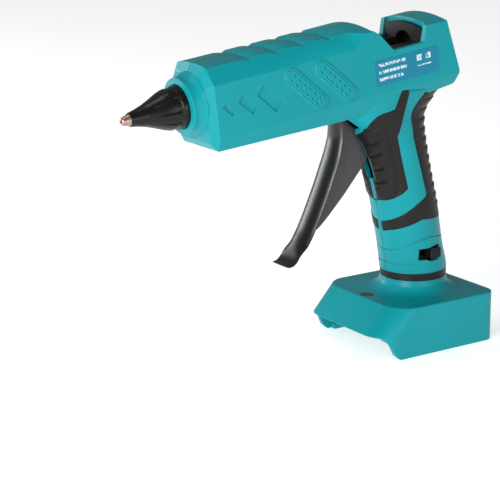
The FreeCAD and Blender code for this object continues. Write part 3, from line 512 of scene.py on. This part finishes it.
def front_grips():
    """Both front grips: rows at each height run from the seam or the slot to the plastic stripe. The seam's
    side gives way to the thin slot of the trigger's web, then to the wide slot of its plate."""
    heights = np.linspace(85.4, 152.9, 280)
    web_slot_low, plate_slot_low, plate_slot_high = 99.1, 125.5, 134.6
    seam_x = handle_section(heights)[0] - handle_section(heights)[1]
    front = turn_at(seam_x, heights) - 1.5 / handle_section(heights)[2]
    slot_turn = np.pi - np.arcsin(3.4 / handle_section(heights)[2])
    plate_turn = turn_at(np.full(heights.shape, 35.3), heights)
    front = np.where(heights > web_slot_low, slot_turn, front)
    front = np.where(heights > plate_slot_low, np.minimum(front, plate_turn), front)
    top = np.array([(35.3, 134.6), (36.0, 136.9), (38.4, 139.3), (41.5, 140.7), (46.0, 141.6), (49.7, 142.6),
                    (50.5, 144.8), (51.9, 147.7), (53.4, 151.0), (54.6, 152.4), (56.6, 152.9)])
    top_turn = turn_at(np.interp(heights, top[:, 1], top[:, 0]), heights)
    front = np.where(heights > plate_slot_high, np.minimum(front, top_turn), front)
    stripe = np.array([(48.0, 85.2), (53.7, 87.0), (56.2, 88.8), (59.5, 91.6), (62.1, 94.8),
                       (53.0, 126.3), (59.9, 151.0), (59.4, 152.4), (57.6, 152.9)])
    back = turn_at(np.interp(heights, stripe[:, 1], stripe[:, 0]), heights)
    share = np.linspace(0.0, 1.0, 130)
    turn = front[:, None] + (back - front)[:, None] * share
    height = np.repeat(heights[:, None], len(share), 1)

    def relief(height, flat):
        """A raised inner panel left of a slanting ridge, crossed by finger grooves whose ends turn up."""
        hook_r = 3.0
        ridge = np.interp(height, (98.3, 103.2, 111.4, 121.3, 132.2), (55.4, 54.2, 51.6, 48.2, 43.7))
        left = ridge - flat[..., 0]
        inside = smoothstep(87.5, 89.5, height) * (1 - smoothstep(131.0, 134.0, height))
        rise = 0.6 * smoothstep(-1.2, 0.0, left) * inside
        rise -= 0.45 * np.exp(-((left + 1.9) / 0.9) ** 2) * inside
        band = height - np.interp(flat[..., 0], (34.0, 37.5, 41.9), (127.3, 129.7, 133.6))
        rise -= 0.4 * np.exp(-(band / 0.45) ** 2) * smoothstep(0.5, 1.5, left)
        for level, end in ((120.9, 4.0), (113.9, 3.6), (105.4, 3.4), (97.4, 3.2), (92.0, 4.2)):
            turned = np.maximum(end + hook_r - left, 0.0)
            middle = level + hook_r
            straight, hooked = np.abs(height - level), np.abs(np.hypot(turned, height - middle) - hook_r)
            away = np.where(turned > 0, np.where(height < middle, hooked, 9.0), straight)
            rise -= 1.0 * np.exp(-(away / 0.5) ** 2)
            pad = np.exp(-((height - level - 2.6) / 1.9) ** 2)
            rise += 0.5 * pad * smoothstep(end - 0.4, end + 2.6, left)
        return rise

    for side, label in ((-1, "left"), (1, "right")):
        skin(f"grip_front_skin_{label}", turn, height, relief, f"grip_front_{label}", side)


def rear_grip():
    """The rear grip, both halves as one skin each side: ruled between the stripe's edge and the back."""
    upper = np.array([(71.5, 149.6), (63.8, 126.0), (74.5, 90.8), (73.7, 88.6), (68.1, 85.0),
                      (61.0, 79.0), (57.0, 75.2), (54.4, 72.8)])
    lower = np.array([(96.4, 151.2), (82.9, 126.0), (90.9, 86.0), (91.8, 80.0), (88.1, 74.0),
                      (71.8, 75.3), (60.7, 70.2), (56.3, 67.0)])
    counts = (90, 110, 10, 22, 30, 18, 12)
    spots = []
    for rail in (upper, lower):
        corner = np.stack([turn_at(rail[:, 0], rail[:, 1]), rail[:, 1]], -1)
        corner[-1, 0] = np.pi - 1.6 / 19.5
        if rail is lower:
            corner[:4, 0] = 0.0
        pieces = [np.linspace(start, end, count, endpoint=False)
                  for start, end, count in zip(corner[:-1], corner[1:], counts)]
        spots.append(np.concatenate([*pieces, corner[-1:]]))
    share = np.linspace(0.0, 1.0, 70)[None, :, None]
    grid = spots[0][:, None] * (1 - share) + spots[1][:, None] * share
    turn, height = grid[..., 0], grid[..., 1]

    def relief(turn, height):
        """Small steps down the back, like saw teeth that fade out toward the sides."""
        step = (height / 5.6) % 1.0
        tooth = 0.65 * smoothstep(0.0, 0.8, step) * (1 - smoothstep(0.86, 1.0, step)) - 0.2
        return tooth * (1 - smoothstep(0.75, 1.15, turn)) * smoothstep(78, 84, height)

    flat = handle_point(turn, height, np.zeros_like(turn))
    rim = np.minimum(rim_distance(flat), 99.0)
    inner = np.linalg.norm(flat - flat[:, :1], axis=-1)
    on_back = (height > 80.0) & (turn < 0.6)
    rim = np.where(on_back, inner, rim)
    out = relief(turn, height) * smoothstep(0.6, 2.2, rim)
    out += 0.38 * np.sqrt(smoothstep(0.0, 0.9, rim)) - 0.75 * (rim < 0.02)
    near = handle_point(turn, height, out)
    far = near * (1.0, -1.0, 1.0)
    grid_piece("grip_rear_skin_left", near, rubber, "grip_rear", toward=(0, -1, 0))
    grid_piece("grip_rear_skin_right", far, rubber, toward=(0, 1, 0))


def swept(path, section):
    """A profile carried along a path in the XZ plane: section holds (across Y, out from the path) for
    each place, and out is measured along the path's normal toward its front."""
    ahead = np.gradient(path, axis=0)
    ahead /= np.linalg.norm(ahead, axis=1, keepdims=True)
    normal = np.stack([ahead[:, 1], -ahead[:, 0]], -1)
    across, out = section[..., 0], section[..., 1]
    flat = path[:, None] + normal[:, None] * out[..., None]
    return np.stack([flat[..., 0], across, flat[..., 1]], -1)


def trigger_pieces():
    """The trigger: a thin crowned plate with a turned-up lip, and a flat fin that joins its back."""
    face = [(20.6, 141.0), (21.3, 134.0), (21.2, 126.0), (18.6, 116.2), (12.0, 99.5), (5.4, 84.8),
            (0.5, 75.0), (-4.3, 67.4), (-8.1, 61.0), (-10.2, 58.4), (-12.4, 57.3), (-15.0, 57.6)]
    path = softened(along_path(face, 240), 45)
    run = np.linspace(0.0, 1.0, len(path))
    half_width = 7.1 + 1.5 * smoothstep(0.0, 0.35, run) - 0.6 * smoothstep(0.93, 1.0, run) ** 2
    crown = 2.1 * (1 - smoothstep(0.80, 0.90, run))
    thick = 1.5
    turn = np.linspace(0.0, 2 * np.pi, 96, endpoint=False)
    across = np.sign(np.cos(turn)) * np.abs(np.cos(turn)) ** 0.55
    rounded = np.sign(np.sin(turn)) * np.abs(np.sin(turn)) ** 0.8
    out = -crown[:, None] * np.abs(across) ** 2.3 + 0.5 * thick * rounded
    closing = np.sqrt(np.clip(1 - smoothstep(0.985, 1.0, run) ** 2, 0, 1))[:, None]
    out = out * np.where(run[:, None] > 0.985, closing, 1.0)
    section = np.stack([half_width[:, None] * across, out], -1)
    grid_piece("trigger_plate", swept(path, section), trigger_black, "trigger", "trigger",
               closed=True)
    front = [(21.5, 138.0), (22.2, 126.0), (19.4, 115.4), (12.9, 99.5), (6.4, 85.0), (0.6, 74.6)]
    edge = [(26.0, 138.6), (33.0, 132.6), (41.0, 125.4), (44.6, 118.8), (45.3, 113.5), (43.4, 110.3),
            (27.9, 92.5), (16.8, 81.3), (11.1, 76.1), (2.6, 71.2)]
    front = along_path(front, 120)
    edge = softened(along_path(edge, 120), 4)
    inward = front - edge
    inward /= np.linalg.norm(inward, axis=1, keepdims=True)
    roll = np.linspace(-0.5 * np.pi, 0.5 * np.pi, 15)
    reach = np.concatenate([[0.0, 0.35, 0.7], np.ones(15), [0.7, 0.35, 0.0]])
    side = np.concatenate([-np.ones(3), np.sin(roll), np.ones(3)])
    bulge = np.concatenate([np.zeros(3), np.cos(roll), np.zeros(3)])
    start = edge + inward * 1.0
    flat = front[:, None] + (start - front)[:, None] * reach[None, :, None]
    flat = flat - inward[:, None] * bulge[None, :, None]
    width = np.sign(side) * (1.6 + 0.9 * np.abs(side)) * (np.abs(side) > 0.01)
    points = np.stack([flat[..., 0], np.broadcast_to(width, flat.shape[:2]), flat[..., 1]], -1)
    grid_piece("trigger_fin", points, trigger_grey, body="trigger")


def turned_piece(name, profile, finish, node, sides=128, relief=None):
    """A profile of (distance from the tip, radius) turned round the barrel's axis, with relief by angle."""
    angle = np.linspace(0.0, 2 * np.pi, sides, endpoint=False)
    reach, radius = profile[:, :1], np.repeat(profile[:, 1:], sides, 1)
    if relief is not None:
        radius = radius + relief(reach, angle[None])
    spokes = np.cos(angle)[:, None] * ACROSS + np.sin(angle)[:, None] * UP
    points = TIP / MM + reach[..., None] * BACK + radius[..., None] * spokes[None]
    return grid_piece(name, points, finish, node, closed=True)


def nose_pieces():
    """The collar with its hollow fillet, the nozzle with its rounded end, and the sleeve: a cone of ten long
    panels, a neck and a flange. Each outline holds (distance from the tip, radius)."""
    tip = [(46, 3.2), (12, 3.0), (3, 0.9), (0.2, 0.8), (0.0, 1.2), (0.15, 1.7), (0.6, 2.1), (4.6, 3.3),
           (9.0, 3.9), (24, 6.4), (30, 6.4), (30, 8.6), (36, 8.6), (36, 5.0), (46, 5.0)]
    ring = [(44.0, 13.2), (36.5, 12.85), (36.2, 12.1), (35.3, 12.1), (35.15, 12.4), (35.5, 14.6),
            (35.4, 15.1), (35.6, 15.5), (36.1, 15.65), (37.4, 15.55), (38.8, 15.7), (40.4, 16.2),
            (41.8, 16.9), (42.7, 17.5), (44.0, 17.5)]
    turned_piece("nose_collar_turned", along_path(ring, 200), teal, "nose_collar", 160)
    turned_piece("nozzle_turned", along_path(tip, 400), tip_metal, "nozzle", 96)
    cone = [(7.4, 3.85), (4.7, 3.4), (4.65, 3.65), (4.9, 3.8), (9.0, 4.6), (14.0, 6.0), (19.0, 7.9),
            (24.0, 10.0), (27.0, 11.0), (30.4, 11.55), (31.2, 11.6), (35.0, 11.9), (35.8, 12.0),
            (36.3, 12.4), (36.5, 12.8), (40.1, 12.8), (40.1, 8.65)]

    def panels(reach, angle):
        """Ten long grooves that deepen toward the flange, and a neck behind the panels' blunt ends."""
        panel_turn = 2 * np.pi / 10
        beat = np.abs((angle / panel_turn + 0.5) % 1.0 - 0.5) * panel_turn
        groove = np.exp(-(beat / 0.045) ** 4) * smoothstep(15.0, 27.0, reach) * (reach < 31.4)
        panel = smoothstep(28.6, 28.75, reach) * (1 - smoothstep(31.5, 32.0, reach))
        open_half = smoothstep(0.10, 0.13, beat)
        return -1.0 * groove - 0.75 * panel * (1 - 0.45 * open_half) * (reach > 15.0)

    turned_piece("sleeve_turned", along_path(cone, 320), silicone, "nozzle_sleeve",
                 480, panels)


def side_pads():
    """The slanted pads on both sides: a step up at a rounded outline, a fine moat and two rows of dimples.
    The step follows the distance inside the outline, which is a slot shape of half width outline_r."""
    outline_r, outline_half = 4.75, 12.45
    pitch, row_y = 4.3, 1.7
    along, wide = np.meshgrid(np.linspace(-17.8, 17.8, 190), np.linspace(-5.3, 5.3, 64), indexing="ij")
    inside = outline_r - np.hypot(np.maximum(np.abs(along) - outline_half, 0.0), wide)
    rise = -1.8 + 2.7 * smoothstep(-0.6, 0.55, inside) - 0.45 * np.exp(-((inside - 1.1) / 0.28) ** 2)
    for row in range(6):
        for column in (-row_y, row_y):
            spot = ((along - (row - 2.5) * pitch) / 0.85) ** 2 + ((wide - column) / 0.55) ** 2
            rise -= 0.75 * np.exp(-spot ** 2)
    lean = math.radians(PAD_TILT)
    reach = along * math.cos(lean) + wide * math.sin(lean)
    drop = wide * math.cos(lean) - along * math.sin(lean)
    for side, label in ((-1, "left"), (1, "right")):
        for centre, order in ((103.3, "front"), (123.3, "rear")):
            points = (TIP / MM + (reach + centre)[..., None] * BACK + (drop + PAD_LINE)[..., None] * UP
                      + side * (SIDE_FLAT + rise)[..., None] * ACROSS)
            grid_piece(f"side_pad_{label}_{order}", points, teal, toward=(0, side, 0))


front_grips()
rear_grip()
side_pads()
trigger_pieces()
nose_pieces()


# ---- stage ----
def stage():
    """A white floor that glows a little, so that it stays white at a distance too."""
    finish = Finish("pale floor")
    cloth = finish.noise(0.01, 3.0)
    colour = finish.mix(cloth, (0.93, 0.93, 0.93), (0.96, 0.96, 0.96))
    pale = finish.surface(Base_Color=colour, Roughness=0.7, Specular_IOR_Level=0.2,
                          Emission_Color=(1.0, 1.0, 1.0), Emission_Strength=0.58)
    half = 3.0
    mesh = bpy.data.meshes.new("floor")
    corners = [(-half, -half, 0), (half, -half, 0), (half, half, 0), (-half, half, 0)]
    mesh.from_pydata(corners, [], [(0, 1, 2, 3)])
    floor = bpy.data.objects.new("floor", mesh)
    mesh.materials.append(pale)
    bpy.context.scene.collection.objects.link(floor)


def soft_light(name, place, target, size, power):
    """A square or oblong lamp at a place, turned to a target."""
    lamp = bpy.data.lights.new(name, "AREA")
    lamp.shape = "RECTANGLE"
    lamp.size, lamp.size_y = size
    lamp.energy = power
    holder = bpy.data.objects.new(name, lamp)
    holder.location = place
    holder.rotation_mode = "QUATERNION"
    holder.rotation_quaternion = (Vector(target) - Vector(place)).to_track_quat("-Z", "Y")
    bpy.context.scene.collection.objects.link(holder)


def lights():
    """A strong key low at the front left, a fill from the side, and weak ones above and behind."""
    middle = (0.0, 0.0, 0.11)
    soft_light("key", (-1.35, -0.7, 0.42), middle, (0.6, 0.6), 19.0)
    soft_light("side", (0.15, -1.5, 0.3), middle, (1.0, 0.5), 4.5)
    soft_light("top", (-0.5, 0.3, 1.4), middle, (0.5, 0.5), 3.0)
    soft_light("rim", (-0.6, 1.35, 0.3), middle, (0.5, 0.5), 6.5)
    world = bpy.data.worlds.new("studio")
    world.use_nodes = True
    backdrop = world.node_tree.nodes["Background"]
    backdrop.inputs["Color"].default_value = (1, 1, 1, 1)
    backdrop.inputs["Strength"].default_value = 0.25
    bpy.context.scene.world = world


def camera():
    """Seen from the front left, a little above, through a long lens."""
    azimuth, elevation, roll = (math.radians(angle) for angle in (-33.1, 15.4, -0.4))
    distance, target = 0.9344, Vector((-0.03507, 0.0, 0.0694))
    back = Vector((math.sin(azimuth) * math.cos(elevation), -math.cos(azimuth) * math.cos(elevation),
                   math.sin(elevation)))
    right = Vector((math.cos(azimuth), math.sin(azimuth), 0.0))
    up = back.cross(right)
    turned_right = right * math.cos(roll) + up * math.sin(roll)
    turned_up = up * math.cos(roll) - right * math.sin(roll)
    lens_data = bpy.data.cameras.new("camera")
    lens_data.lens = 120.87
    lens_data.sensor_width = 36.0
    holder = bpy.data.objects.new("camera", lens_data)
    holder.matrix_world = Matrix.Translation(target + back * distance) @ Matrix(
        (turned_right, turned_up, back)).transposed().to_4x4()
    bpy.context.scene.collection.objects.link(holder)
    bpy.context.scene.camera = holder


stage()
lights()
camera()
bpy.context.scene.view_settings.view_transform = "Standard"
